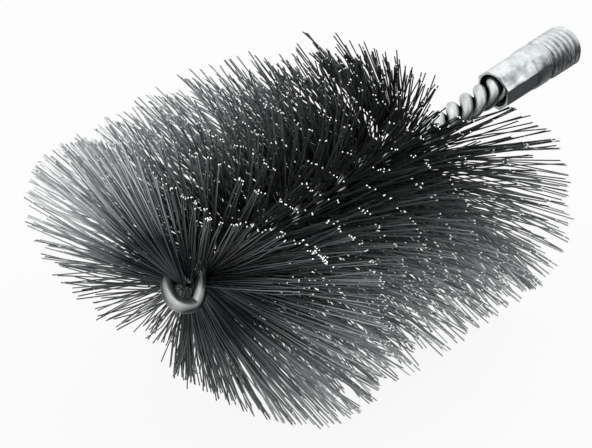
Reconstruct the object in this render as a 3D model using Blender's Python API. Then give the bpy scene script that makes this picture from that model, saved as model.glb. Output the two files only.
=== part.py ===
# Boiler brush: steel bristles held in a twisted wire stem, with a crimped threaded ferrule.
# The stem lies along X, from the nose loop at low X to the thread at high X. Z is up, in metres.
# Angles run around X, from +Y towards +Z. The brush lies on the cut tips of its lowest bristles.

import math

import bmesh
import bpy
import numpy as np
from mathutils import Vector

MM = 0.001

# Clearance between neighbouring pieces
CLEARANCE = 0.3 * MM

# Bristle field
BRUSH_DIAMETER = 100 * MM
OFF_CENTRE = 2 * MM  # how far the bristles reach further on the side that slants to the thread
FIELD_LENGTH = 80.4 * MM
FIELD_PITCH = 17.2 * MM  # length of one full turn of the stem within the bristles
BRISTLE_THICKNESS = 0.5 * MM
WEB_RADIUS = 2.6 * MM  # how far the packed bristles reach before they spread
RESTING_CUT = 0.5 * MM  # depth cut flat off the lowest tips
CROSSINGS_PER_ROW = (17, 18, 19)  # bristle wires in each row, by rows in order, two strands to a wire
BRISTLE_WIDTH_SHARE = 0.5  # of the step from one bristle wire to the next
FIRST_BRISTLE_ANGLE = math.radians(-73.8)
LEAN_ANGLE = math.radians(18)  # how far the bristles slant from square
LEAN_TOWARDS = math.radians(-138.8)  # the side that slants to the thread, opposite the one that slants to the nose
THREAD_SIDE_FADE = 0.3  # a small fade keeps nearly the full slant up to the change from side to side
NOSE_SIDE_FADE = 1.0
NOSE_SIDE_SWING = 0.5  # added to the fade below the brush and taken off above it
SPLAY = 4 * MM  # how far the tips spread outwards at both ends of the field, each on one side
NOSE_SPLAY_TOWARDS = math.radians(-10)
REAR_SPLAY_TOWARDS = math.radians(115)
NOSE_SPLAY_LENGTH = 8 * MM
REAR_SPLAY_LENGTH = 2 * MM
SPLAY_FADE = 3 * MM
TRIM = 5 * MM  # how much shorter the last bristles are on one side
TRIM_TOWARDS = math.radians(72)
TRIM_LENGTH = 9 * MM
TRIM_POWER = 4  # the higher, the narrower

# Twisted stem, one wire folded at the nose
WIRE_DIAMETER = 3.5 * MM
BARE_LENGTH = 35.6 * MM  # from the last bristle to the ferrule's mouth
BARE_PITCH = 11 * MM  # the twist is tighter where it holds no bristles
BARE_GAP = 0.75 * MM  # between the two legs, measured through the axis
TWIST_BLEND = 7 * MM  # where the pitch changes
STRAIGHT_END = 3.5 * MM
POINTS_PER_TURN = 10
STRAIGHT_STEP = 8 * MM  # at most this far apart where the twist stops
WIRE_BEVEL_RESOLUTION = 2

# Nose loop
LOOP_HALF_WIDTH = 5 * MM  # to the middle of the wire
LOOP_REACH = 5.4 * MM  # from its widest place to the middle of the wire at the nose
LOOP_SKEW = 1.2 * MM  # how far one leg is widest ahead of the middle, and the other behind it
NECK_LENGTH = 4.2 * MM  # where the legs open into the loop
NECK_TURN = math.radians(75)
BRISTLES_BEHIND_LOOP = 1.1 * MM  # from its widest place to the first bristle
NECK_POINTS = 5
LOOP_POINTS = 12

# Ferrule sleeve
SLEEVE_DIAMETER = 11.8 * MM
SLEEVE_LENGTH = 18.5 * MM
BORE_DEPTH = 16 * MM
MOUTH_CHAMFER = 0.15 * MM
BORE_FLARE = 0.7 * MM  # how much wider the bore is at the mouth, on the radius
BORE_FLARE_LENGTH = 2 * MM
CRIMP_FLAT_DEPTH = 0.4 * MM
CRIMP_LENGTH = 12 * MM
CRIMP_BLEND = 1.5 * MM
CRIMP_FLATS = 8
CRIMP_TURN = math.radians(133.7)
SAMPLES_PER_FLAT = 4
GROOVE_WIDTH = 0.9 * MM
GROOVE_DEPTH = 0.4 * MM

# Ferrule thread
THREAD_DIAMETER = 12 * MM
THREAD_LENGTH = 12 * MM
THREAD_PITCH = 1.75 * MM
THREAD_DEPTH = 1.0 * MM
THREAD_RUNOUT = 0.9 * MM
THREAD_ROWS_PER_TURN = 6

# Distances along X, from the widest place of the nose loop
FIELD_START = BRISTLES_BEHIND_LOOP
FIELD_END = FIELD_START + FIELD_LENGTH
MOUTH = FIELD_END + BARE_LENGTH
SHOULDER = MOUTH + SLEEVE_LENGTH
THREAD_END = SHOULDER + THREAD_LENGTH
STEM_END = MOUTH + BORE_DEPTH - CLEARANCE

# Radii that follow from what lies inside
BRUSH_RADIUS = BRUSH_DIAMETER / 2
WIRE_RADIUS = WIRE_DIAMETER / 2
FIELD_LEG_RADIUS = BRISTLE_THICKNESS / 2 + CLEARANCE + WIRE_RADIUS
BARE_LEG_RADIUS = BARE_GAP / 2 + WIRE_RADIUS
BORE_RADIUS = BARE_LEG_RADIUS + WIRE_RADIUS + CLEARANCE
FIELD_TWIST = math.tau / FIELD_PITCH
BARE_TWIST = math.tau / BARE_PITCH
TWIST_SAMPLES = 1500


def clear_scene():
    for thing in list(bpy.data.objects):
        bpy.data.objects.remove(thing, do_unlink=True)


def metal(name, colour, roughness, metallic):
    made = bpy.data.materials.new(name)
    made.use_nodes = True
    shader = made.node_tree.nodes["Principled BSDF"]
    shader.inputs["Base Color"].default_value = (*colour, 1.0)
    shader.inputs["Roughness"].default_value = roughness
    shader.inputs["Metallic"].default_value = metallic
    return made


def around(x, radius, angle):
    return Vector((x, radius * math.cos(angle), radius * math.sin(angle)))


def bristle_angle(x):
    return FIRST_BRISTLE_ANGLE - FIELD_TWIST * (x - FIELD_START)


def smooth(t):
    return t * t * (3 - 2 * t)


# Stem

def twist_along_stem():
    # The legs' angle and radius at many places from the neck of the loop to the cut ends.
    straight_start = STEM_END - STRAIGHT_END
    places = np.linspace(NECK_LENGTH, STEM_END, TWIST_SAMPLES)
    knots = [FIELD_END, FIELD_END + TWIST_BLEND, straight_start - TWIST_BLEND / 2, straight_start]
    rates = np.interp(places, knots, [FIELD_TWIST, BARE_TWIST, BARE_TWIST, 0])
    steps = (rates[1:] + rates[:-1]) / 2 * np.diff(places)
    turned = np.concatenate([[0], np.cumsum(steps)])
    angles = bristle_angle(NECK_LENGTH) - math.pi / 2 - turned
    radii = np.interp(places, knots[:2], [FIELD_LEG_RADIUS, BARE_LEG_RADIUS])
    return places, angles, radii, turned


def leg_points(half_turn):
    # One leg, from its cut end in the ferrule to the back of the neck.
    places, angles, radii, turned = twist_along_stem()
    marks = turned / math.tau * POINTS_PER_TURN + (places - places[0]) / STRAIGHT_STEP
    wanted = np.linspace(marks[-1], 0, math.ceil(marks[-1]))
    points = []
    for mark in wanted:
        x = float(np.interp(mark, marks, places))
        angle = float(np.interp(mark, marks, angles)) + half_turn
        radius = float(np.interp(mark, marks, radii))
        points.append(around(x, radius, angle))
    return points


def neck_points(half_turn):
    # The leg opens from the twist to the widest place of the loop and stops turning there.
    start = bristle_angle(NECK_LENGTH) - math.pi / 2 + half_turn
    first_slope = FIELD_TWIST * NECK_LENGTH / NECK_TURN
    skew = LOOP_SKEW * math.cos(half_turn)
    points = []
    for i in range(1, NECK_POINTS + 1):
        t = i / NECK_POINTS
        turn = NECK_TURN * (first_slope * t * (1 - t) ** 2 + smooth(t))
        radius = FIELD_LEG_RADIUS + (LOOP_HALF_WIDTH - FIELD_LEG_RADIUS) * smooth(t)
        points.append(around(NECK_LENGTH * (1 - t) - skew * smooth(t), radius, start + turn))
    return points


def loop_points():
    # Half a skewed ellipse round the nose, between the widest places of the two legs.
    angle = bristle_angle(NECK_LENGTH) - math.pi / 2 + NECK_TURN
    points = []
    for i in range(1, LOOP_POINTS):
        swept = math.pi * i / LOOP_POINTS
        x = -LOOP_REACH * math.sin(swept) - LOOP_SKEW * math.cos(swept)
        points.append(around(x, LOOP_HALF_WIDTH * math.cos(swept), angle))
    return points


def least_gap(points):
    # Between stretches of the wire that are further apart along it than half the loop.
    dense = []
    for a, b in zip(points, points[1:]):
        dense += [a.lerp(b, t) for t in (0, 0.25, 0.5, 0.75)]
    spots = np.array(dense)
    along = np.concatenate([[0], np.cumsum(np.linalg.norm(np.diff(spots, axis=0), axis=1))])
    apart = math.pi * LOOP_HALF_WIDTH
    least = math.inf
    for i in range(len(spots)):
        others = spots[along > along[i] + apart]
        if len(others):
            least = min(least, float(np.linalg.norm(others - spots[i], axis=1).min()))
    return least - WIRE_DIAMETER


def make_stem_wire():
    going = leg_points(0) + neck_points(0)
    coming = leg_points(math.pi) + neck_points(math.pi)
    points = going + loop_points() + coming[::-1]
    print(f"stem wire: least gap to itself {least_gap(points) / MM:.2f} mm")
    curve = bpy.data.curves.new("stem_wire", "CURVE")
    curve.dimensions = "3D"
    curve.twist_mode = "MINIMUM"
    curve.bevel_depth = WIRE_RADIUS
    curve.bevel_resolution = WIRE_BEVEL_RESOLUTION
    curve.use_fill_caps = True
    spline = curve.splines.new("POLY")
    spline.points.add(len(points) - 1)
    for spot, point in zip(spline.points, points):
        spot.co = (*point, 1.0)
    spline.use_smooth = True
    curve.materials.append(metal("stem_steel", (0.56, 0.57, 0.57), 0.38, 1.0))
    return bpy.data.objects.new("stem_wire", curve)


# Bristles

def slant(angle):
    # How far a tip is set along the stem for each unit of its reach.
    away = angle - LEAN_TOWARDS
    side = math.cos(away)
    fade = THREAD_SIDE_FADE
    if side < 0:
        fade = NOSE_SIDE_FADE + NOSE_SIDE_SWING * math.sin(away)
    return math.tan(LEAN_ANGLE) * side * math.hypot(1, fade) / math.hypot(side, fade)


def tip_radius(angle):
    # From the stem's axis to a circle that is set off it.
    away = angle - LEAN_TOWARDS
    return OFF_CENTRE * math.cos(away) + math.sqrt(BRUSH_RADIUS ** 2 - (OFF_CENTRE * math.sin(away)) ** 2)


def splay_strength(distance, length, angle, towards):
    # Full up to this length from the end of the field, fading beyond it, and strongest towards one side.
    near = float(np.interp(distance, [length, length + SPLAY_FADE], [1, 0]))
    return near * max(0, math.cos(angle - towards))


def splay(x, angle):
    at_nose = splay_strength(x - FIELD_START, NOSE_SPLAY_LENGTH, angle, NOSE_SPLAY_TOWARDS)
    at_rear = splay_strength(FIELD_END - x, REAR_SPLAY_LENGTH, angle, REAR_SPLAY_TOWARDS)
    return SPLAY * (at_rear - at_nose)


def trim(x, angle):
    return TRIM * splay_strength(FIELD_END - x, TRIM_LENGTH, angle, TRIM_TOWARDS) ** TRIM_POWER


def strand_tip(root, angle):
    # Runs out at its own angle, slanted, and stops at the floor if it would pass it.
    reach = tip_radius(angle) - WEB_RADIUS - trim(root.x, angle)
    tip = root + around(slant(angle) * reach + splay(root.x, angle), reach, angle)
    floor = OFF_CENTRE * math.sin(LEAN_TOWARDS) + RESTING_CUT - BRUSH_RADIUS
    if tip.z < floor:
        tip = root.lerp(tip, (floor - root.z) / (tip.z - root.z))
    return tip


def make_bristle_row(name, start, length, crossings, material):
    # A twisted strip of packed wires between the legs, with each wire's two free ends drawn out of its edges.
    mesh = bpy.data.meshes.new(name)
    bm = bmesh.new()
    step = length / crossings
    inset = step * (1 - BRISTLE_WIDTH_SHARE) / 2
    places = [start]
    for i in range(crossings):
        places += [start + i * step + inset, start + (i + 1) * step - inset]
    places.append(start + length)
    rings = []
    for x in places:
        angle = bristle_angle(x)
        out = around(0, WEB_RADIUS, angle)
        across = around(0, BRISTLE_THICKNESS / 2, angle + math.pi / 2)
        middle = Vector((x, 0, 0))
        corners = [out - across, out + across, across - out, -across - out]
        rings.append([bm.verts.new(middle + corner) for corner in corners])
    bm.faces.new(rings[0])
    bm.faces.new(rings[-1][::-1])
    for i, (a, b) in enumerate(zip(rings, rings[1:])):
        for side in range(4):
            nearer = (side + 1) % 4
            quad = [a[side], b[side], b[nearer], a[nearer]]
            if side % 2 or i % 2 == 0:
                bm.faces.new(quad)
                continue
            angle = bristle_angle((places[i] + places[i + 1]) / 2) + math.pi * (side // 2)
            tips = [bm.verts.new(strand_tip(v.co, angle)) for v in quad]
            bm.faces.new(tips)
            for j in range(4):
                k = (j + 1) % 4
                bm.faces.new([quad[j], quad[k], tips[k], tips[j]])
    bmesh.ops.recalc_face_normals(bm, faces=bm.faces)
    bmesh.ops.triangulate(bm, faces=bm.faces)
    bm.to_mesh(mesh)
    bm.free()
    mesh.materials.append(material)
    return bpy.data.objects.new(name, mesh)


def make_bristle_rows():
    # Rows of equal length, each of at most half a turn.
    dark_steel = metal("bristle_steel", (0.075, 0.085, 0.095), 0.42, 1.0)
    count = math.ceil(2 * FIELD_LENGTH / FIELD_PITCH)
    pitch = FIELD_LENGTH / count
    rows = []
    for i in range(count):
        name = f"bristle_row_{i + 1:02d}"
        start = FIELD_START + i * pitch + CLEARANCE / 2
        crossings = CROSSINGS_PER_ROW[i % len(CROSSINGS_PER_ROW)]
        rows.append(make_bristle_row(name, start, pitch - CLEARANCE, crossings, dark_steel))
    return rows


# Ferrule

def crimped(radius, depth):
    # A round section with flats pressed into it.
    def section(angle):
        width = math.tau / CRIMP_FLATS
        off = (angle + width / 2) % width - width / 2
        return min(radius, (radius - depth) / math.cos(off))
    return section


def plain(radius):
    return crimped(radius, 0)


def threaded(x):
    # The radius round one section of the thread, which fades out at both ends.
    fade = min(1, (x - SHOULDER) / THREAD_RUNOUT, (THREAD_END - x) / THREAD_RUNOUT)

    def section(angle):
        wave = math.cos(angle - math.tau * (x - SHOULDER) / THREAD_PITCH)
        return THREAD_DIAMETER / 2 - THREAD_DEPTH * (1 - fade * (1 + wave) / 2)
    return section


def ferrule_sections():
    # From the end of the thread over the outside to the mouth, and down the bore.
    sleeve = SLEEVE_DIAMETER / 2
    groove = sleeve - GROOVE_DEPTH
    rows = round(THREAD_LENGTH / THREAD_PITCH * THREAD_ROWS_PER_TURN)
    sections = []
    for i in range(rows + 1):
        x = THREAD_END - THREAD_LENGTH * i / rows
        sections.append((x, threaded(x)))
    sections.append((SHOULDER - GROOVE_DEPTH, plain(groove)))
    sections.append((SHOULDER - GROOVE_WIDTH, plain(groove)))
    sections.append((SHOULDER - GROOVE_WIDTH - GROOVE_DEPTH, plain(sleeve)))
    sections.append((MOUTH + CRIMP_LENGTH + CRIMP_BLEND, plain(sleeve)))
    sections.append((MOUTH + CRIMP_LENGTH, crimped(sleeve, CRIMP_FLAT_DEPTH)))
    sections.append((MOUTH + MOUTH_CHAMFER, crimped(sleeve, CRIMP_FLAT_DEPTH)))
    sections.append((MOUTH, crimped(sleeve - MOUTH_CHAMFER, CRIMP_FLAT_DEPTH)))
    sections.append((MOUTH, plain(BORE_RADIUS + BORE_FLARE)))
    sections.append((MOUTH + BORE_FLARE_LENGTH, plain(BORE_RADIUS)))
    sections.append((MOUTH + BORE_DEPTH, plain(BORE_RADIUS)))
    return sections


def make_ferrule():
    mesh = bpy.data.meshes.new("threaded_ferrule")
    bm = bmesh.new()
    sides = CRIMP_FLATS * SAMPLES_PER_FLAT
    rings = []
    for x, section in ferrule_sections():
        ring = []
        for i in range(sides):
            angle = math.tau * i / sides
            ring.append(bm.verts.new(around(x, section(angle), angle + CRIMP_TURN)))
        rings.append(ring)
    bm.faces.new(rings[0])
    bm.faces.new(rings[-1][::-1])
    for a, b in zip(rings, rings[1:]):
        for i in range(sides):
            j = (i + 1) % sides
            bm.faces.new([a[i], b[i], b[j], a[j]])
    bmesh.ops.recalc_face_normals(bm, faces=bm.faces)
    bm.to_mesh(mesh)
    bm.free()
    mesh.shade_smooth()
    mesh.set_sharp_from_angle(angle=math.radians(40))
    mesh.materials.append(metal("zinc_plate", (0.66, 0.68, 0.69), 0.32, 1.0))
    return bpy.data.objects.new("threaded_ferrule", mesh)


# Assembly

def outer_corners(things):
    bpy.context.view_layer.update()
    low = Vector((math.inf,) * 3)
    high = Vector((-math.inf,) * 3)
    for thing in things:
        for corner in thing.bound_box:
            low = Vector(map(min, low, corner))
            high = Vector(map(max, high, corner))
    return low, high


def main():
    clear_scene()
    pieces = [make_stem_wire(), make_ferrule(), *make_bristle_rows()]
    frame = bpy.data.objects.new("brush_frame", None)
    bpy.context.scene.collection.objects.link(frame)
    for piece in pieces:
        bpy.context.scene.collection.objects.link(piece)
        piece.parent = frame
    low, high = outer_corners(pieces)
    frame.location = (-(low.x + high.x) / 2, -(low.y + high.y) / 2, -low.z)
    bpy.context.view_layer.update()
    print(f"brush: {(high - low) / MM} mm, middle of the loop at {frame.location / MM} mm")


main()
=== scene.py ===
import math

import bmesh
import bpy
import numpy as np
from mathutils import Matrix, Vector


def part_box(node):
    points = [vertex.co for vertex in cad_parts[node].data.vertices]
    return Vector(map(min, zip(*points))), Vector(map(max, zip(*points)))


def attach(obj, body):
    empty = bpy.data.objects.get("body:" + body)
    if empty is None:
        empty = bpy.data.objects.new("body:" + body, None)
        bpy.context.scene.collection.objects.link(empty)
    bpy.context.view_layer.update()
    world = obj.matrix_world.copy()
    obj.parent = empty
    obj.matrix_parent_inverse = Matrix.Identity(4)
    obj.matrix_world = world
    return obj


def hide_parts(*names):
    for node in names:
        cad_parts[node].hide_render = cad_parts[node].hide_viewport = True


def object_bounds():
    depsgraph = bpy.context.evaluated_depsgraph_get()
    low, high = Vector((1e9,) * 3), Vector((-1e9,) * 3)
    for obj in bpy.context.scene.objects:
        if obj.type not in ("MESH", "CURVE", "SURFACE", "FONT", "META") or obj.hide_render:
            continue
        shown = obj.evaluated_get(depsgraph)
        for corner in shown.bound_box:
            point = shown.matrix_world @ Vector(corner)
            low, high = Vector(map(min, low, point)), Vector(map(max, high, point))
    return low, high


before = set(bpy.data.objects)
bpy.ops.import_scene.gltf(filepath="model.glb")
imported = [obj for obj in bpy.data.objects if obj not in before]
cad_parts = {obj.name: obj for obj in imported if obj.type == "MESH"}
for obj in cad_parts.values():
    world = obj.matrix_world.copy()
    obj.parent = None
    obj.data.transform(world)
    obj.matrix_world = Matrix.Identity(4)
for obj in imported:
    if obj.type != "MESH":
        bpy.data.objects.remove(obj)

cadLow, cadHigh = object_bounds()
mm = 0.001

# The brush lies along X, nose loop at low X. These places come from the frame.
ferruleLow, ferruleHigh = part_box("threaded_ferrule")
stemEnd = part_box("stem_wire")[1].x
axisSide = (ferruleLow.y + ferruleHigh.y) / 2
axisHeight = (ferruleLow.z + ferruleHigh.z) / 2
mouth = ferruleLow.x
threadEnd = ferruleHigh.x

# How the stem is twisted. The stem and the bristles share this; the field is the stretch with bristles.
twist = {
    "bareLength": 35.6 * mm,  # from the field to the ferrule
    "barePitch": 11 * mm,
    "fieldLength": 80.4 * mm,
    "fieldPitch": 17.2 * mm,
    "firstAngle": math.radians(-73.8),  # of the first bristle
    "behindLoop": 1.1 * mm,  # from the loop to the first bristle
}
fieldStart = mouth - twist["bareLength"] - twist["fieldLength"]
fieldEnd = mouth - twist["bareLength"]
loopX = fieldStart - twist["behindLoop"]
fieldTwist = math.tau / twist["fieldPitch"]


def around(x, radius, angle):
    return Vector((x, axisSide + radius * math.cos(angle), axisHeight + radius * math.sin(angle)))


def bristleAngle(x):
    return twist["firstAngle"] - fieldTwist * (x - fieldStart)


def smooth(t):
    return t * t * (3 - 2 * t)


def finishMesh(bm, name, sharpFrom):
    mesh = bpy.data.meshes.new(name)
    bm.to_mesh(mesh)
    bm.free()
    mesh.shade_smooth()
    mesh.set_sharp_from_angle(angle=math.radians(sharpFrom))
    return mesh


def addPiece(name, mesh, material, slot, *nodes):
    piece = bpy.data.objects.new(name, mesh)
    bpy.context.scene.collection.objects.link(piece)
    if material:
        mesh.materials.append(material)
    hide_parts(*nodes)
    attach(piece, "root")
    return piece


# Nodes and the two shader groups that the metals share

noiseSpan = (0.3, 0.7)  # nearly all values of a noise texture
dullSpan = (0.35, 0.7)  # of the same noise: clean metal up to the first, dull from the second


def addNode(tree, kind, inputs=None, **settings):
    made = tree.nodes.new(kind)
    for key, value in settings.items():
        setattr(made, key, value)
    for key, value in (inputs or {}).items():
        if isinstance(value, bpy.types.NodeSocket):
            tree.links.new(value, made.inputs[key])
        else:
            made.inputs[key].default_value = value
    return made


def mathNode(tree, operation, *values):
    return addNode(tree, "ShaderNodeMath", dict(enumerate(values)), operation=operation).outputs[0]


def ramp(tree, value, low, high, toLow, toHigh):
    made = addNode(tree, "ShaderNodeMapRange",
                   {"Value": value, "From Min": low, "From Max": high, "To Min": toLow, "To Max": toHigh})
    return made.outputs["Result"]


def mixColours(tree, factor, a, b):
    made = tree.nodes.new("ShaderNodeMix")
    made.data_type = "RGBA"
    tree.links.new(factor, made.inputs["Factor"])
    for socket, value in ((made.inputs[6], a), (made.inputs[7], b)):
        if isinstance(value, bpy.types.NodeSocket):
            tree.links.new(value, socket)
        else:
            socket.default_value = (*value, 1.0)
    return made.outputs[2]


def newGroup(name, inputs, outputs):
    group = bpy.data.node_groups.new(name, "ShaderNodeTree")
    for label, kind, value in inputs:
        made = group.interface.new_socket(name=label, in_out="INPUT", socket_type=kind)
        if value is not None:
            made.default_value = value
    for label, kind in outputs:
        group.interface.new_socket(name=label, in_out="OUTPUT", socket_type=kind)
    return group, group.nodes.new("NodeGroupInput").outputs, group.nodes.new("NodeGroupOutput").inputs


def newMaterial(name, metallic=1.0):
    made = bpy.data.materials.new(name)
    made.use_nodes = True
    shader = made.node_tree.nodes["Principled BSDF"]
    shader.inputs["Metallic"].default_value = metallic
    return made, made.node_tree, shader


def buildWear():
    # Broad blotches, and fine scratches that run along X of the coordinates given.
    group, given, out = newGroup(
        "metalWear",
        [("Vector", "NodeSocketVector", None), ("Blotch Scale", "NodeSocketFloat", 220.0),
         ("Scratch Scale", "NodeSocketFloat", 2600.0), ("Stretch", "NodeSocketFloat", 0.04)],
        [("Blotches", "NodeSocketFloat"), ("Scratches", "NodeSocketFloat")],
    )
    blotch = addNode(group, "ShaderNodeTexNoise",
                     {"Vector": given["Vector"], "Scale": given["Blotch Scale"], "Detail": 4.0})
    along = addNode(group, "ShaderNodeCombineXYZ", {0: given["Stretch"], 1: 1.0, 2: 1.0})
    squeezed = addNode(group, "ShaderNodeVectorMath",
                       {0: given["Vector"], 1: along.outputs[0]}, operation="MULTIPLY")
    scratch = addNode(group, "ShaderNodeTexNoise",
                      {"Vector": squeezed.outputs[0], "Scale": given["Scratch Scale"], "Detail": 3.0})
    group.links.new(blotch.outputs["Fac"], out["Blotches"])
    group.links.new(scratch.outputs["Fac"], out["Scratches"])
    return group


def buildSideShade():
    # Painted shade on one side, by default the side that the brush lies on, with a ragged edge.
    group, given, out = newGroup(
        "paintedSideShade",
        [("Normal", "NodeSocketVector", None), ("Blotches", "NodeSocketFloat", 0.5),
         ("Bare Up To", "NodeSocketFloat", -0.3), ("Full From", "NodeSocketFloat", 0.45),
         ("Towards", "NodeSocketVector", (0.17, -0.75, -0.64))],
        [("Painted Shade", "NodeSocketFloat")],
    )
    under = addNode(group, "ShaderNodeVectorMath",
                    {0: given["Normal"], 1: given["Towards"]}, operation="DOT_PRODUCT")
    uneven = ramp(group, given["Blotches"], *noiseSpan, -0.15, 0.15)
    ragged = mathNode(group, "ADD", under.outputs["Value"], uneven)
    amount = ramp(group, ragged, given["Bare Up To"], given["Full From"], 0, 1)
    group.links.new(amount, out["Painted Shade"])
    return group


metalWear = buildWear()
paintedSideShade = buildSideShade()


def shadeMask(tree, place, wear, limits, **towards):
    inputs = {"Normal": place.outputs["Normal"], "Blotches": wear.outputs["Blotches"],
              "Bare Up To": limits[0], "Full From": limits[1], **towards}
    return addNode(tree, "ShaderNodeGroup", inputs, node_tree=paintedSideShade).outputs["Painted Shade"]


def paintMetal(tree, shader, wear, look, shadeAmount):
    # Clean and dull metal in blotches under the painted shade, with scratches in the gloss.
    dull = ramp(tree, wear.outputs["Blotches"], *dullSpan, 0, 1)
    metal = mixColours(tree, dull, look["cleanColour"], look["dullColour"])
    colour = mixColours(tree, shadeAmount, metal, look["paintedShadeColour"])
    tree.links.new(colour, shader.inputs["Base Color"])
    gloss = ramp(tree, wear.outputs["Scratches"], *noiseSpan, *look["roughness"])
    tree.links.new(gloss, shader.inputs["Roughness"])
    bump = addNode(tree, "ShaderNodeBump", {"Height": wear.outputs[look["bumpFrom"]],
                                            "Strength": look["bumpStrength"], "Distance": look["bumpDepth"]})
    tree.links.new(bump.outputs["Normal"], shader.inputs["Normal"])


# Stem

stem = {
    "wireRadius": 1.75 * mm,
    "loopHalfWidth": 5 * mm,
    "loopReach": 5.4 * mm,
    "loopSkew": 1.2 * mm,  # one side of the loop stands this far ahead, the other as far behind
    "neckLength": 4.2 * mm,
    "neckTurn": math.radians(75),
    "fieldLegRadius": 2.3 * mm,  # from the axis to the middle of each leg
    "bareLegRadius": 2.125 * mm,
    "twistBlend": 7 * mm,
    "straightEnd": 3.5 * mm,  # inside the ferrule
    "foldSwelling": 0.1,  # the wire is a little thicker where it was folded
    "foldFade": 12 * mm,
    "pointStep": 0.55 * mm,
    "sides": 20,
    "cleanColour": (0.62, 0.64, 0.64),
    "dullColour": (0.44, 0.455, 0.455),
    # Painted shade: its colour, and where it lies on the lower side, on one side of the loop and in the
    # furrows between the twisted legs
    "paintedShadeColour": (0.026, 0.029, 0.03),
    "paintedShadeLimits": (-0.25, 0.55),  # bare up to the first, covered from the second
    "loopShadeLimits": (-0.15, 0.85),
    "loopShadeTowards": (-0.7, 0.7, 0.1),  # ahead, and to the side of +Y
    "furrowShade": (2.0 * mm, 3.1 * mm),  # between the twisted legs, full and gone this far from the axis
    "furrowStart": 3 * mm,  # it fills up over this length behind the neck
    "roughness": (0.26, 0.46),
    "bumpFrom": "Scratches",
    "bumpStrength": 0.35,
    "bumpDepth": 0.05 * mm,
}


def makeStemSteel():
    made, tree, shader = newMaterial("drawnStemSteel")
    space = addNode(tree, "ShaderNodeAttribute", attribute_name="wireSpace")
    wear = addNode(tree, "ShaderNodeGroup", {"Vector": space.outputs["Vector"]}, node_tree=metalWear)
    place = addNode(tree, "ShaderNodeTexCoord")
    # Painted shade on the lower side, on one side of the loop and in the furrows between the twisted legs
    below = shadeMask(tree, place, wear, stem["paintedShadeLimits"])
    behind = shadeMask(tree, place, wear, stem["loopShadeLimits"], Towards=stem["loopShadeTowards"])
    offAxis = addNode(tree, "ShaderNodeVectorMath",
                      {0: place.outputs["Object"], 1: (0, axisSide, axisHeight)}, operation="SUBTRACT")
    parts = addNode(tree, "ShaderNodeSeparateXYZ", {0: offAxis.outputs[0]}).outputs
    squares = [mathNode(tree, "MULTIPLY", part, part) for part in (parts[1], parts[2])]
    fromAxis = mathNode(tree, "SQRT", mathNode(tree, "ADD", *squares))
    neckBack = loopX + stem["neckLength"]
    twisted = ramp(tree, parts[0], neckBack, neckBack + stem["furrowStart"], 0, 1)
    onLoop = mathNode(tree, "MULTIPLY", behind, mathNode(tree, "SUBTRACT", 1.0, twisted))
    inFurrow = mathNode(tree, "MULTIPLY", twisted, ramp(tree, fromAxis, *stem["furrowShade"], 1, 0))
    shadeAmount = mathNode(tree, "MAXIMUM", inFurrow, mathNode(tree, "MAXIMUM", below, onLoop))
    paintMetal(tree, shader, wear, stem, shadeAmount)
    return made


def legPath(halfTurn):
    # Densely from the cut end inside the ferrule to the back of the loop's neck.
    straightStart = stemEnd - stem["straightEnd"]
    neckBack = loopX + stem["neckLength"]
    places = np.linspace(neckBack, stemEnd, 1500)
    blend = stem["twistBlend"]
    knots = [fieldEnd, fieldEnd + blend, straightStart - blend / 2, straightStart]
    bareTwist = math.tau / twist["barePitch"]
    rates = np.interp(places, knots, [fieldTwist, bareTwist, bareTwist, 0])
    steps = (rates[1:] + rates[:-1]) / 2 * np.diff(places)
    turned = np.concatenate([[0], np.cumsum(steps)])
    angles = bristleAngle(neckBack) - math.pi / 2 - turned + halfTurn
    radii = np.interp(places, knots[:2], [stem["fieldLegRadius"], stem["bareLegRadius"]])
    return [around(x, r, a) for x, r, a in zip(places[::-1], radii[::-1], angles[::-1])]


def neckPath(halfTurn):
    # Each leg opens from the twist to one side of the loop.
    neck, turnIn = stem["neckLength"], stem["neckTurn"]
    start = bristleAngle(loopX + neck) - math.pi / 2 + halfTurn
    slope = fieldTwist * neck / turnIn
    legRadius = stem["fieldLegRadius"]
    skew = stem["loopSkew"] * math.cos(halfTurn)
    points = []
    for t in np.linspace(0, 1, 80)[1:]:
        turn = turnIn * (slope * t * (1 - t) ** 2 + smooth(t))
        radius = legRadius + (stem["loopHalfWidth"] - legRadius) * smooth(t)
        points.append(around(loopX + neck * (1 - t) - skew * smooth(t), radius, start + turn))
    return points


def loopPath():
    angle = bristleAngle(loopX + stem["neckLength"]) - math.pi / 2 + stem["neckTurn"]
    return [around(loopX - stem["loopReach"] * math.sin(s) - stem["loopSkew"] * math.cos(s),
                   stem["loopHalfWidth"] * math.cos(s), angle)
            for s in np.linspace(0, math.pi, 160)[1:-1]]


def evenly(points, step):
    spots = np.array(points)
    along = np.concatenate([[0], np.cumsum(np.linalg.norm(np.diff(spots, axis=0), axis=1))])
    wanted = np.linspace(0, along[-1], round(along[-1] / step))
    return np.stack([np.interp(wanted, along, spots[:, k]) for k in range(3)], axis=1), wanted


def tubeMesh(name, points, along, radii, sides):
    # A round tube carried along the points without twisting, with its own coordinates for the scratches.
    bm = bmesh.new()
    space = bm.verts.layers.float_vector.new("wireSpace")
    tangents = np.gradient(points, axis=0)
    side = Vector((0, 0, 1))
    rings = []
    for point, tangent, distance, radius in zip(points, tangents, along, radii):
        forward = Vector(tangent).normalized()
        side = (side - forward * side.dot(forward)).normalized()
        other = forward.cross(side)
        ring = []
        for j in range(sides):
            turn = math.tau * j / sides
            vert = bm.verts.new(Vector(point) + (side * math.cos(turn) + other * math.sin(turn)) * radius)
            vert[space] = (distance, radius * math.cos(turn), radius * math.sin(turn))
            ring.append(vert)
        rings.append(ring)
    for a, b in zip(rings, rings[1:]):
        for j in range(sides):
            k = (j + 1) % sides
            bm.faces.new([a[j], a[k], b[k], b[j]])
    bm.faces.new(rings[0][::-1])
    bm.faces.new(rings[-1])
    return finishMesh(bm, name, 60)


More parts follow.
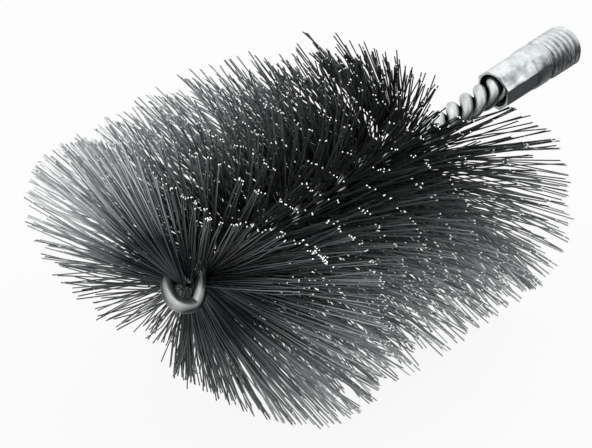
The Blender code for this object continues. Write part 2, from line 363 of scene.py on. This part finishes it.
def makeStem():
    going = legPath(0) + neckPath(0)
    coming = legPath(math.pi) + neckPath(math.pi)
    points, along = evenly(going + loopPath() + coming[::-1], stem["pointStep"])
    fromFold = np.abs(along - along[-1] / 2) - math.pi * stem["loopHalfWidth"] / 2
    swelling = stem["foldSwelling"] * np.interp(fromFold, [0, stem["foldFade"]], [1, 0])
    mesh = tubeMesh("stemWire", points, along, stem["wireRadius"] * (1 + swelling), stem["sides"])
    addPiece("stemWire", mesh, makeStemSteel(), "stem_steel", "stem_wire")
    print(f"stem wire: {len(points)} rings")


# Ferrule

ferrule = {
    "sleeveRadius": 5.9 * mm,
    "sleeveLength": 18.5 * mm,
    "boreRadius": 4.175 * mm,
    "boreDepth": 16 * mm,
    "lip": 0.15 * mm,  # rounding of the outer edge at the mouth
    "flare": 0.7 * mm,  # how much wider the bore is at the mouth
    "flareLength": 2 * mm,
    "flats": 8,  # spacing of the crimp round the sleeve
    "flatDepth": 0.4 * mm,
    "crimpLength": 12 * mm,
    "crimpBlend": 1.5 * mm,
    "crimpTurn": math.radians(133.7),
    "grooveWidth": 0.9 * mm,
    "grooveDepth": 0.4 * mm,
    "threadRadius": 6 * mm,
    "threadPitch": 1.75 * mm,
    "threadDepth": 0.8 * mm,
    "threadRunout": 0.9 * mm,
    "rowsPerPitch": 14,
    "segments": 128,
    "cleanColour": (0.66, 0.685, 0.695),
    "dullColour": (0.44, 0.465, 0.475),
    # Painted shade on the lower side: its colour, and where it lies
    "paintedShadeColour": (0.03, 0.034, 0.036),
    "paintedShadeLimits": (-0.28, 0.5),
    "wearScales": {"Blotch Scale": 330.0, "Scratch Scale": 1500.0, "Stretch": 0.15},
    "roughness": (0.24, 0.5),
    "bumpFrom": "Blotches",
    "bumpStrength": 0.5,
    "bumpDepth": 0.12 * mm,
}


def makeZincPlate():
    made, tree, shader = newMaterial("zincPlate")
    place = addNode(tree, "ShaderNodeTexCoord")
    wear = addNode(tree, "ShaderNodeGroup",
                   {"Vector": place.outputs["Object"], **ferrule["wearScales"]}, node_tree=metalWear)
    # Painted shade on the lower side of the ferrule
    shadeAmount = shadeMask(tree, place, wear, ferrule["paintedShadeLimits"])
    paintMetal(tree, shader, wear, ferrule, shadeAmount)
    return made


def ferruleProfile(shoulder):
    # Each row is a place along X, a radius, and how deep the flats and the thread are there.
    sleeve, lip, flat = ferrule["sleeveRadius"], ferrule["lip"], ferrule["flatDepth"]
    groove, grooveStart = ferrule["grooveDepth"], shoulder - ferrule["grooveWidth"]
    threadRows = round((threadEnd - shoulder) / ferrule["threadPitch"] * ferrule["rowsPerPitch"])
    rows = [(x, ferrule["threadRadius"], 0, 1) for x in np.linspace(threadEnd, shoulder, threadRows + 1)]
    rows.append((shoulder - groove, sleeve - groove, 0, 0))
    rows.append((grooveStart, sleeve - groove, 0, 0))
    rows.append((grooveStart - 0.6 * groove, sleeve - 0.2 * groove, 0, 0))  # a rounded corner
    rows.append((grooveStart - groove, sleeve, 0, 0))
    crimpEnd = mouth + ferrule["crimpLength"]
    for t in np.linspace(1, 0, 9):
        rows.append((crimpEnd + ferrule["crimpBlend"] * t, sleeve, flat * smooth(1 - t), 0))
    for x in np.linspace(crimpEnd, mouth + lip, 14)[1:]:
        rows.append((x, sleeve, flat, 0))
    for turn in np.linspace(0, math.pi / 2, 5)[1:]:
        rows.append((mouth + lip * (1 - math.sin(turn)), sleeve - lip * (1 - math.cos(turn)), flat, 0))
    bore = ferrule["boreRadius"]
    rows.append((mouth, bore + ferrule["flare"], 0, 0))
    rows.append((mouth + ferrule["flareLength"], bore, 0, 0))
    rows.append((mouth + ferrule["boreDepth"], bore, 0, 0))
    return rows


def makeFerrule():
    shoulder = mouth + ferrule["sleeveLength"]
    rows = ferruleProfile(shoulder)
    width = math.tau / ferrule["flats"]
    runout, segments = ferrule["threadRunout"], ferrule["segments"]
    bm = bmesh.new()
    rings = []
    for x, radius, flat, thread in rows:
        fade = min(1, (x - shoulder) / runout, (threadEnd - x) / runout)
        ring = []
        for i in range(segments):
            angle = math.tau * i / segments
            off = (angle + width / 2) % width - width / 2
            r = min(radius, (radius - flat) / math.cos(off))
            if thread:
                wave = math.cos(angle - math.tau * (x - shoulder) / ferrule["threadPitch"])
                r -= ferrule["threadDepth"] * (1 - fade * smooth((1 + wave) / 2))
            ring.append(bm.verts.new(around(x, r, angle + ferrule["crimpTurn"])))
        rings.append(ring)
    bm.faces.new(rings[0])
    bm.faces.new(rings[-1])
    for a, b in zip(rings, rings[1:]):
        for i in range(segments):
            j = (i + 1) % segments
            bm.faces.new([a[i], b[i], b[j], a[j]])
    bmesh.ops.recalc_face_normals(bm, faces=bm.faces)
    mesh = finishMesh(bm, "threadedFerrule", 45)
    addPiece("threadedFerrule", mesh, makeZincPlate(), "zinc_plate", "threaded_ferrule")
    print(f"ferrule: {len(rows)} rings")


# Bristles

# Towards is an angle round the stem, 0 at +Y and 90 degrees at +Z. Spread holds two cosines of the angle away
# from it: something begins at the first and is full at the second. Fade holds two distances from that end of
# the field: something is full up to the first and gone at the second.
bristles = {
    "wiresByRow": (340, 118, 106, 100, 96, 92, 96, 114, 140, 250),
    "radius": 0.18 * mm,
    "reach": 49.9 * mm,
    "offCentre": 2 * mm,  # further reach on the side that slants to the thread
    "rootRadius": 1.2 * mm,
    "clearance": 1.5,  # wire radii that a tip keeps from the floor and from the nose end of the box
    "sides": 5,
    "points": 5,
    "seed": 7,
    "noseCrowding": 1.7,  # over 1 puts more of an end row's wires at the end of the field
    "rearCrowding": 1.8,
    "clump": 3,  # wires that lie together
    "clumpWidth": 0.5,  # share of its stretch that a clump fills
    "clumpShift": (0.2, 0.5),  # least and most, from the start of that stretch
    "wireShift": 0.3,  # either way, of the room that one wire has in its clump
    "strays": 14,  # sparse short wires ahead of the first row
    "strayLength": 0.7 * mm,  # how far ahead
    "strayReach": 0.75,  # share of the reach of the others
    "strayUneven": (-0.12, 0.1),  # added to that
    # Slant along the stem, and how softly it turns over from one side to the other
    "slant": math.tan(math.radians(18)),
    "slantTowards": math.radians(-138.8),
    "threadSideFade": 0.3,
    "noseSideFade": 1.0,
    "noseSideSwing": 0.5,
    # Scatter
    "clumpTiltAlong": 0.009,
    "clumpTiltAround": 0.014,
    "tiltAlong": 0.0055,
    "tiltAround": 0.0065,
    "endScatter": 1.6,  # times more tilt at both ends of the field
    "endScatterLength": 9 * mm,
    "looseTilt": 1.6,  # times more tilt again in the loosest wires
    "loosePower": 8,  # the higher, the fewer loose wires
    "rootScatter": 0.7,  # wire radii
    "bow": 0.8 * mm,
    # Splay outwards at both ends of the field, each on one side
    "splay": 4 * mm,
    "noseSplayTowards": math.radians(-10),
    "noseSplayFade": (8 * mm, 11 * mm),
    "rearSplayTowards": math.radians(115),
    "rearSplayFade": (2 * mm, 5 * mm),
    # The loop presses the first wires round into a fan. On one side they come out behind it and lean ahead.
    "noseFanTurn": math.radians(40),
    "noseFanLength": 1.5 * mm,
    "noseFanOther": 0.08,  # share of that turn at their other ends
    "noseFanTowards": math.radians(135),
    "noseFanSpread": (0.9, 0.97),
    "noseFanFade": (1.5 * mm, 3 * mm),
    "noseFanBehind": 5 * mm,
    "noseFanAhead": 4 * mm,
    # The loop also pushes a share of the first wires together, past its side.
    "gatherShare": 0.75,
    "gatherTowards": math.radians(16),
    "gatherSpread": (0.1, 0.35),
    "gatherFade": (8.5 * mm, 10.5 * mm),
    "gatherSide": 3 * mm,
    "gatherAhead": 4.2 * mm,
    "gatherPull": 0.75,  # share of their distance from the nose
    # Cuts, as shares of the reach unless they are lengths
    "shorter": 0.015,  # most cut off anywhere
    "wornShorter": 0.16,  # more on the side with the painted sheen
    "wornSpread": (0.6, 1.0),
    "raggedShorter": 0.22,  # and more again on the ragged side
    "raggedTowards": math.radians(-80),
    "raggedSpread": (-0.5, 0.2),
    "cutPower": 2,  # the higher, the fewer wires are cut much
    "trim": 5 * mm,  # the last wires are shorter on one side
    "trimTowards": math.radians(72),
    "trimFade": (9 * mm, 12 * mm),
    "trimPower": 4,  # the higher, the narrower
    "trimUneven": (1.0, 2.2),  # least and most, times the trim
    "rearShorter": 0.26,  # on the same side, most cut off the wires of the rear rows
    "rearSpread": (0.2, 0.7),
    "rearFade": (15 * mm, 30 * mm),
    "rearPower": 0.35,  # under 1, so that most of them are cut nearly as much
    "noseShorter": 0.2,  # the first wires, on one side
    "noseShorterTowards": math.radians(105),
    "noseShorterSpread": (0.93, 0.985),
    "noseShorterFade": (2 * mm, 5 * mm),
    "partCut": 0.45,  # few wires lie along the bare stem
    "partTowards": math.radians(128),
    "partSpread": (0.984, 0.992),
    "partFade": (7 * mm, 9 * mm),
    # Where the outer halves of the wires get a painted sheen
    "paintedSheenTowards": math.radians(50),
    "paintedSheenSpread": (0.25, 0.92),
    "greyShare": 0.48,  # this side gets less of the painted sheen
    "greyTowards": math.radians(-155),
    "greySpread": (0.3, 0.9),
    "noseDark": 0.85,  # share of the painted sheen that the first wires lack on one side, as painted shade on the fan
    "noseDarkTowards": math.radians(120),
    "noseDarkSpread": (0.75, 0.95),
    "noseDarkFade": (3 * mm, 8 * mm),
    "rearShine": 0.15,  # share of the painted sheen that is left on the side trimmed at the rear
    "rearShineSpread": (-0.3, 0.4),
    # Colours, each from the darkest wire to the lightest. Where they begin is a share of the length. The
    # inner colours are darker as painted shade deep in the brush, and the sheen colours are a painted sheen.
    "innerColours": ((0.008, 0.01, 0.011), (0.08, 0.09, 0.096)),
    "outerColours": ((0.014, 0.017, 0.018), (0.13, 0.145, 0.152)),
    "paintedSheenColours": ((0.26, 0.28, 0.288), (0.86, 0.88, 0.89)),
    "tonePower": 1.6,  # over 1 makes more of the wires dark
    "outerFrom": (0.35, 0.8),
    "endColour": (0.88, 0.89, 0.89),
    "endFrom": (0.9925, 0.994),
    "endShare": 0.008,  # of the length, the sheared end
    "evenStretch": 1.323,  # spreads the other points over the rest
    "endFlare": 1.45,
    "flareFrom": 0.98,
    "blotchScale": 500.0,
    "roughness": (0.26, 0.46),
}


def makeBristleSteel():
    # Dark oiled wire, each a little lighter or darker, with painted shade on the inner halves, a painted
    # sheen on the outer halves on some sides, and a bright sheared end.
    made, tree, shader = newMaterial("bristleSteel")

    def read(name):
        return addNode(tree, "ShaderNodeAttribute", attribute_name=name).outputs["Fac"]

    tone, along, bright = read("tone"), read("along"), read("bright")
    place = addNode(tree, "ShaderNodeTexCoord")
    wear = addNode(tree, "ShaderNodeGroup",
                   {"Vector": place.outputs["Object"], "Blotch Scale": bristles["blotchScale"]},
                   node_tree=metalWear)
    # The inner halves are darker, as painted shade deep in the brush
    inner = mixColours(tree, tone, *bristles["innerColours"])
    outer = mixColours(tree, tone, *bristles["outerColours"])
    paintedSheen = mixColours(tree, tone, *bristles["paintedSheenColours"])
    # Painted sheen on the outer halves, where the attribute bright is high
    outer = mixColours(tree, bright, outer, paintedSheen)
    body = mixColours(tree, ramp(tree, along, *bristles["outerFrom"], 0, 1), inner, outer)
    colour = mixColours(tree, ramp(tree, along, *bristles["endFrom"], 0, 1), body, bristles["endColour"])
    tree.links.new(colour, shader.inputs["Base Color"])
    gloss = ramp(tree, wear.outputs["Blotches"], *noiseSpan, *bristles["roughness"])
    tree.links.new(gloss, shader.inputs["Roughness"])
    return made


def rowInputs(number, material):
    # What the node tree is given for one row. The last row is laid from its rear end, where it crowds.
    last = len(bristles["wiresByRow"]) - 1
    rowLength = twist["fieldLength"] / (last + 1)
    crowding = {0: bristles["noseCrowding"], last: bristles["rearCrowding"]}
    values = {
        "Start": fieldEnd if number == last else fieldStart + rowLength * number,
        "Length": -rowLength if number == last else rowLength,
        "Crowding": crowding.get(number, 1.0),
        "Wires": bristles["wiresByRow"][number],
        "Strays": 0 if number else bristles["strays"],
        "Seed": bristles["seed"] + 1000 * number,
        "Field Start": fieldStart,
        "Field End": fieldEnd,
        "First Angle": twist["firstAngle"],
        "Twist": fieldTwist,
        "Axis Side": axisSide,
        "Axis Height": axisHeight,
        "Nose Limit": cadLow[0] + bristles["clearance"] * bristles["radius"],
        "Material": material,
    }
    for key in ("radius", "reach", "offCentre", "rootRadius", "slant", "slantTowards", "threadSideFade",
                "noseSideFade", "noseSideSwing", "clumpTiltAlong", "clumpTiltAround", "tiltAlong",
                "tiltAround", "endScatter", "looseTilt", "bow", "splay", "gatherSide", "gatherAhead",
                "shorter", "wornShorter", "raggedShorter", "strayLength", "strayReach", "clump", "sides",
                "points"):
        label = "".join(" " + letter if letter.isupper() else letter for letter in key).title()
        values[label] = bristles[key]  # "rootRadius" is given as "Root Radius"
    return values


def buildBristleTree(inputs):
    # Lays wires across the twisted stem in clumps. Each has two ends, which slant and scatter.
    tree = bpy.data.node_groups.new("bristleRow", "GeometryNodeTree")
    tree.is_modifier = True
    kinds = {float: "NodeSocketFloat", int: "NodeSocketInt"}
    for label, value in inputs.items():
        kind = kinds.get(type(value), "NodeSocketMaterial")
        tree.interface.new_socket(name=label, in_out="INPUT", socket_type=kind)
    tree.interface.new_socket(name="Geometry", in_out="OUTPUT", socket_type="NodeSocketGeometry")
    given = tree.nodes.new("NodeGroupInput").outputs
    out = tree.nodes.new("NodeGroupOutput").inputs

    def add(kind, inputs=None, **settings):
        return addNode(tree, kind, inputs, **settings)

    def calc(operation, *values):
        return mathNode(tree, operation, *values)

    def plus(a, b):
        return calc("ADD", a, b)

    def minus(a, b):
        return calc("SUBTRACT", a, b)

    def times(a, b):
        return calc("MULTIPLY", a, b)

    def over(a, b):
        return calc("DIVIDE", a, b)

    def fade(value, low, high, first=0.0, last=1.0):
        return ramp(tree, value, low, high, first, last)

    def vector(operation, a, b):
        key = "Scale" if operation == "SCALE" else 1
        return add("ShaderNodeVectorMath", {0: a, key: b}, operation=operation).outputs[0]

    def moved(start, direction, amount):
        return vector("ADD", start, vector("SCALE", direction, amount))

    def xyz(x, y, z):
        return add("ShaderNodeCombineXYZ", {0: x, 1: y, 2: z}).outputs[0]

    # Counting goes over wire ends: two for each wire, one on each half.
    index = add("GeometryNodeInputIndex").outputs[0]
    wire = calc("FLOOR", over(index, 2.0))
    half = calc("MODULO", index, 2.0)
    clump = calc("FLOOR", over(wire, given["Clump"]))
    clumpEnd = plus(times(clump, 2.0), half)
    drawn = [0]

    def chance(low, high, number=index):
        # One even draw for each number, by default one for each wire end.
        drawn[0] += 1
        seed = plus(given["Seed"], drawn[0] * 31)
        made = add("FunctionNodeRandomValue", {2: low, 3: high, 7: number, 8: seed}, data_type="FLOAT")
        return made.outputs[1]

    def bell(spread, number=index):
        # Three even draws added, which gathers most near the middle.
        total = plus(chance(-1.0, 1.0, number), chance(-1.0, 1.0, number))
        return times(plus(total, chance(-1.0, 1.0, number)), spread)

    # Places along the stem: clumps side by side, each with its wires close together
    laidWires = minus(given["Wires"], given["Strays"])
    shift = chance(-bristles["wireShift"], bristles["wireShift"], wire)
    within = over(plus(calc("MODULO", wire, given["Clump"]), shift), given["Clump"])
    place = plus(plus(clump, chance(*bristles["clumpShift"], clump)), times(within, bristles["clumpWidth"]))
    place = minus(times(place, given["Clump"]), given["Strays"])
    share = calc("POWER", calc("MAXIMUM", over(place, laidWires), 0.0), given["Crowding"])
    x = plus(given["Start"], times(given["Length"], share))
    stray = calc("LESS_THAN", wire, given["Strays"])
    ahead = minus(given["Start"], times(given["Stray Length"], chance(0.0, 1.0, wire)))
    x = plus(x, times(stray, minus(ahead, x)))
    fromNose = minus(x, given["Field Start"])
    fromEnd = minus(given["Field End"], x)

    def near(distance, name, amount=1.0):
        # The amount near one end of the field, then none.
        return fade(distance, *bristles[name], amount, 0.0)

    def facing(name):
        return calc("COSINE", minus(angle, bristles[name + "Towards"]))

    def sided(name, spread=None, amount=1.0):
        # The amount on one side of the stem, then none.
        return fade(facing(name), *bristles[(spread or name) + "Spread"], 0.0, amount)

    def endSide(distance, name):
        return times(calc("MAXIMUM", facing(name), 0.0), near(distance, name + "Fade"))

    # Angles round the stem, with the fan at the nose, more scattered at both ends of the field
    angle = minus(given["First Angle"], times(given["Twist"], fromNose))
    angle = plus(angle, times(half, math.pi))
    pressed = fade(fromNose, 0.0, bristles["noseFanLength"], bristles["noseFanTurn"], 0.0)
    angle = plus(angle, times(pressed, fade(half, 0.0, 1.0, bristles["noseFanOther"], 1.0)))
    fanned = times(sided("noseFan"), near(fromNose, "noseFanFade"))
    loose = times(calc("POWER", chance(0.0, 1.0), bristles["loosePower"]), given["Loose Tilt"])
    nearest = calc("MINIMUM", fromNose, fromEnd)
    scatter = fade(nearest, 0.0, bristles["endScatterLength"], given["End Scatter"], 1.0)
    scatter = times(scatter, plus(loose, 1.0))
    tiltAround = plus(bell(given["Clump Tilt Around"], clumpEnd), bell(given["Tilt Around"]))
    angle = plus(angle, times(tiltAround, scatter))
    outY, outZ = calc("COSINE", angle), calc("SINE", angle)

    # Slant along the stem, towards the thread on one side and towards the nose on the other
    away = minus(angle, given["Slant Towards"])
    side = calc("COSINE", away)
    noseSide = calc("LESS_THAN", side, 0.0)
    noseFade = plus(given["Nose Side Fade"], times(given["Nose Side Swing"], calc("SINE", away)))
    threadFade = given["Thread Side Fade"]
    softness = plus(threadFade, times(noseSide, minus(noseFade, threadFade)))
    soft = times(softness, softness)
    steepness = calc("SQRT", over(plus(1.0, soft), plus(times(side, side), soft)))
    slant = times(given["Slant"], times(side, steepness))
    tiltAlong = plus(bell(given["Clump Tilt Along"], clumpEnd), bell(given["Tilt Along"]))
    slant = plus(slant, times(tiltAlong, scatter))
    splay = times(given["Splay"], minus(endSide(fromEnd, "rearSplay"), endSide(fromNose, "noseSplay")))
    splay = minus(splay, times(fanned, bristles["noseFanBehind"] + bristles["noseFanAhead"]))

    # Length of each wire end: its reach, and what is cut off
    trimmed = times(calc("POWER", endSide(fromEnd, "trim"), bristles["trimPower"]), bristles["trim"])
    trimmed = times(trimmed, chance(*bristles["trimUneven"]))
    offAcross = times(given["Off Centre"], calc("SINE", away))
    reach = calc("SQRT", minus(times(given["Reach"], given["Reach"]), times(offAcross, offAcross)))
    reach = plus(reach, minus(times(given["Off Centre"], side), trimmed))
    rear = near(fromEnd, "rearFade")
    rearCut = times(times(rear, sided("trim", "rear")), bristles["rearShorter"])
    rearCut = times(rearCut, calc("POWER", chance(0.0, 1.0), bristles["rearPower"]))
    mostCut = plus(given["Shorter"], times(sided("paintedSheen", "worn"), given["Worn Shorter"]))
    mostCut = plus(mostCut, times(sided("ragged"), given["Ragged Shorter"]))
    anyCut = times(calc("POWER", chance(0.0, 1.0), bristles["cutPower"]), mostCut)
    noseCut = times(near(fromNose, "noseShorterFade", bristles["noseShorter"]), sided("noseShorter"))
    partCut = times(sided("part", amount=bristles["partCut"]), near(fromEnd, "partFade"))
    left = minus(1.0, anyCut)
    for cut in (rearCut, noseCut, partCut):
        left = times(left, minus(1.0, cut))
    strayLeft = plus(given["Stray Reach"], chance(*bristles["strayUneven"], clumpEnd))
    left = times(left, plus(1.0, times(stray, minus(strayLeft, 1.0))))
    length = minus(times(reach, left), given["Root Radius"])

    # How much painted sheen each wire end gets, with painted shade on one side of the first wires
    bright = calc("MAXIMUM", sided("paintedSheen"), sided("grey", amount=bristles["greyShare"]))
    dark = times(near(fromNose, "noseDarkFade", bristles["noseDark"]), sided("noseDark"))
    bright = times(bright, minus(1.0, dark))
    rearDark = times(rear, sided("trim", "rearShine"))
    bright = times(bright, fade(rearDark, 0.0, 1.0, 1.0, bristles["rearShine"]))

    # Root and tip
    flat = xyz(0.0, outY, outZ)
    across = xyz(0.0, times(outZ, -1.0), outY)
    rootX = plus(x, times(fanned, bristles["noseFanBehind"]))
    root = moved(xyz(rootX, given["Axis Side"], given["Axis Height"]), flat, given["Root Radius"])
    tip = vector("ADD", moved(root, xyz(slant, outY, outZ), length), xyz(splay, 0.0, 0.0))
    gather = times(sided("gather"), near(fromNose, "gatherFade"))
    gather = times(gather, calc("LESS_THAN", chance(0.0, 1.0), bristles["gatherShare"]))
    sideways = bristles["slantTowards"] - math.pi / 2
    bent = xyz(minus(times(fromNose, -bristles["gatherPull"]), given["Gather Ahead"]),
               times(given["Gather Side"], math.cos(sideways)),
               times(given["Gather Side"], math.sin(sideways)))
    root = moved(root, bent, gather)
    root = moved(root, across, bell(times(given["Radius"], bristles["rootScatter"])))

    # A wire that would go through the floor or past the nose stops there.
    rootHeight, tipHeight = [add("ShaderNodeSeparateXYZ", {0: end}).outputs[2] for end in (root, tip)]
    fall = calc("MAXIMUM", minus(rootHeight, tipHeight), 0.0001)
    room = minus(rootHeight, times(given["Radius"], bristles["clearance"]))
    tip = moved(root, vector("SUBTRACT", tip, root), calc("MINIMUM", over(room, fall), 1.0))
    apart = add("ShaderNodeSeparateXYZ", {0: tip}).outputs
    tip = xyz(calc("MAXIMUM", apart[0], given["Nose Limit"]), apart[1], apart[2])
    bow = vector("ADD", vector("SCALE", across, bell(given["Bow"])), xyz(bell(given["Bow"]), 0.0, 0.0))
    tone = calc("POWER", chance(0.0, 1.0), bristles["tonePower"])

    # One straight strand for each wire end, which carries what was worked out above
    geometry = add("GeometryNodePoints", {"Count": times(given["Wires"], 2)}).outputs[0]
    for name, value, kind in (("root", root, "FLOAT_VECTOR"), ("tip", tip, "FLOAT_VECTOR"),
                              ("bow", bow, "FLOAT_VECTOR"), ("tone", tone, "FLOAT"),
                              ("bright", bright, "FLOAT")):
        stored = add("GeometryNodeStoreNamedAttribute", {"Geometry": geometry, "Name": name, "Value": value},
                     data_type=kind, domain="POINT")
        geometry = stored.outputs[0]
    line = add("GeometryNodeCurvePrimitiveLine")
    strand = add("GeometryNodeResampleCurve", {"Curve": line.outputs[0], "Count": given["Points"]})
    placed = add("GeometryNodeInstanceOnPoints", {"Points": geometry, "Instance": strand.outputs[0]})
    strands = add("GeometryNodeRealizeInstances", {0: placed.outputs[0]})

    def read(name):
        return add("GeometryNodeInputNamedAttribute", {"Name": name}, data_type="FLOAT_VECTOR").outputs[0]

    # The last point but one sits close behind the tip, where the sheared end begins.
    even = add("GeometryNodeSplineParameter").outputs[0]
    nearTip = bristles["endShare"] * (bristles["points"] - 1)
    along = calc("MINIMUM", times(even, bristles["evenStretch"]), plus(times(even, nearTip), 1.0 - nearTip))
    rootRead = read("root")
    bowed = vector("SCALE", read("bow"), times(times(along, minus(1.0, along)), 4.0))
    straight = moved(rootRead, vector("SUBTRACT", read("tip"), rootRead), along)
    flare = fade(along, bristles["flareFrom"], 1.0, 1.0, bristles["endFlare"])
    flared = add("GeometryNodeSetCurveRadius", {"Curve": strands.outputs[0], "Radius": flare})
    marked = add("GeometryNodeStoreNamedAttribute",
                 {"Geometry": flared.outputs[0], "Name": "along", "Value": along},
                 data_type="FLOAT", domain="POINT")
    laid = add("GeometryNodeSetPosition",
               {"Geometry": marked.outputs[0], "Position": vector("ADD", straight, bowed)})
    ring = add("GeometryNodeCurvePrimitiveCircle", {"Resolution": given["Sides"], "Radius": given["Radius"]})
    tube = add("GeometryNodeCurveToMesh",
               {"Curve": laid.outputs[0], "Profile Curve": ring.outputs[0], "Fill Caps": True})
    geometry = tube.outputs[0]
    for name in ("root", "tip", "bow"):
        geometry = add("GeometryNodeRemoveAttribute", {"Geometry": geometry, "Name": name}).outputs[0]
    joined = add("GeometryNodeRealizeInstances", {0: geometry})
    painted = add("GeometryNodeSetMaterial", {"Geometry": joined.outputs[0], "Material": given["Material"]})
    tree.links.new(painted.outputs[0], out[0])
    return tree


def makeBristleRow(number, tree, values):
    name = f"bristleRow{number + 1:02d}"
    holder = bpy.data.objects.new(name + "Holder", bpy.data.meshes.new(name + "Holder"))
    bpy.context.scene.collection.objects.link(holder)
    modifier = holder.modifiers.new("bristles", "NODES")
    modifier.node_group = tree
    for item in tree.interface.items_tree:
        if item.item_type == "SOCKET" and item.in_out == "INPUT":
            modifier[item.identifier] = values[item.name]
    holder.update_tag()
    depsgraph = bpy.context.evaluated_depsgraph_get()
    mesh = bpy.data.meshes.new_from_object(holder.evaluated_get(depsgraph), depsgraph=depsgraph)
    holder.modifiers.remove(modifier)
    bpy.data.objects.remove(holder, do_unlink=True)
    mesh.shade_smooth()
    mesh.set_sharp_from_angle(angle=math.radians(80))
    return addPiece(name, mesh, None, "bristle_steel", f"bristle_row_{number + 1:02d}")


def makeBristles():
    material = makeBristleSteel()
    tree = buildBristleTree(rowInputs(0, material))
    rows = [makeBristleRow(number, tree, rowInputs(number, material))
            for number in range(len(bristles["wiresByRow"]))]
    triangles = sum(len(face.vertices) - 2 for row in rows for face in row.data.polygons)
    print(f"bristles: {len(rows)} rows, {triangles} triangles")


# Studio

studio = {
    "yaw": math.radians(44.3),
    "elevation": math.radians(38.6),
    "distance": 0.95,
    "pixelsPerMetre": 3825.6,
    "imageWidth": 592,
    "sensor": 36.0,
    "aimFromLoop": 45.69 * mm,
    "aimPixel": (14.6, 16.9),
    "floorHalf": 4.0,
    "floorColour": (0.9, 0.9, 0.9, 1),
    "floorRoughness": 0.9,
    "floorShine": 0.1,
    "whitening": 0.9,  # share of plain white in what the camera sees of the floor
    "worldLight": 0.5,
    "lampsFace": (0, 0, 0.05),
    "lamps": {  # place, width and power
        "sideLight": ((0.67, -0.66, 0.75), 0.5, 1),
        "lowLight": ((0.72, -0.91, 0.31), 0.5, 2),
        "backLight": ((0.67, 0.14, 0.98), 1.8, 4),
        "fillLight": ((-0.7, 0.4, 1.0), 2.4, 9),
    },
}


def lookFrame():
    yaw, elevation = studio["yaw"], studio["elevation"]
    level = math.cos(elevation)
    forward = Vector((math.cos(yaw) * level, math.sin(yaw) * level, -math.sin(elevation)))
    right = Vector((math.sin(yaw), -math.cos(yaw), 0))
    return forward, right, right.cross(forward)


def makeCamera():
    forward, right, up = lookFrame()
    data = bpy.data.cameras.new("camera")
    data.sensor_width = studio["sensor"]
    data.sensor_fit = "HORIZONTAL"
    data.lens = studio["pixelsPerMetre"] * studio["distance"] * studio["sensor"] / studio["imageWidth"]
    data.clip_end = 50
    camera = bpy.data.objects.new("camera", data)
    bpy.context.scene.collection.objects.link(camera)
    asideX, asideY = (p / studio["pixelsPerMetre"] for p in studio["aimPixel"])
    aim = Vector((loopX + studio["aimFromLoop"], axisSide, axisHeight))
    camera.location = aim - forward * studio["distance"] - right * asideX - up * asideY
    camera.rotation_euler = forward.to_track_quat("-Z", "Y").to_euler()
    bpy.context.scene.camera = camera
    print("camera ready")


def seenDirectly(tree):
    # 1 for rays from the camera, a reflection or through glass, 0 for those that only carry light
    path = addNode(tree, "ShaderNodeLightPath").outputs
    seen = mathNode(tree, "MAXIMUM", path["Is Camera Ray"], path["Is Glossy Ray"])
    return mathNode(tree, "MAXIMUM", seen, path["Is Transmission Ray"])


def makeFloor():
    # The floor looks white to the camera and in reflections, and keeps the shadow that falls on it.
    bm = bmesh.new()
    bmesh.ops.create_grid(bm, x_segments=1, y_segments=1, size=studio["floorHalf"])
    mesh = bpy.data.meshes.new("floor")
    bm.to_mesh(mesh)
    bm.free()
    floor = bpy.data.objects.new("floor", mesh)
    bpy.context.scene.collection.objects.link(floor)
    made, tree, shader = newMaterial("paleFloor", 0.0)
    shader.inputs["Base Color"].default_value = studio["floorColour"]
    shader.inputs["Roughness"].default_value = studio["floorRoughness"]
    shader.inputs["Specular IOR Level"].default_value = studio["floorShine"]
    mesh.materials.append(made)
    glow = addNode(tree, "ShaderNodeEmission", {"Color": (1, 1, 1, 1), "Strength": 1.0})
    white = mathNode(tree, "MULTIPLY", seenDirectly(tree), studio["whitening"])
    mixed = addNode(tree, "ShaderNodeMixShader", {0: white, 1: shader.outputs[0], 2: glow.outputs[0]})
    tree.links.new(mixed.outputs[0], tree.nodes["Material Output"].inputs["Surface"])
    print("floor ready")


def makeWorld():
    world = bpy.data.worlds.new("world")
    world.use_nodes = True
    bpy.context.scene.world = world
    tree = world.node_tree
    background = tree.nodes["Background"]
    background.inputs["Color"].default_value = (1, 1, 1, 1)
    strength = ramp(tree, seenDirectly(tree), 0, 1, studio["worldLight"], 1.0)
    tree.links.new(strength, background.inputs["Strength"])
    print("backdrop ready")


def makeLamps():
    for name, (place, width, power) in studio["lamps"].items():
        data = bpy.data.lights.new(name, "AREA")
        data.size = width
        data.energy = power
        lamp = bpy.data.objects.new(name, data)
        lamp.location = place
        aim = Vector(studio["lampsFace"]) - Vector(place)
        lamp.rotation_euler = aim.to_track_quat("-Z", "Y").to_euler()
        bpy.context.scene.collection.objects.link(lamp)
    print("lamps ready")


makeCamera()
makeFloor()
makeWorld()
makeLamps()
makeStem()
makeFerrule()
makeBristles()

bpy.context.scene.view_settings.view_transform = "Standard"
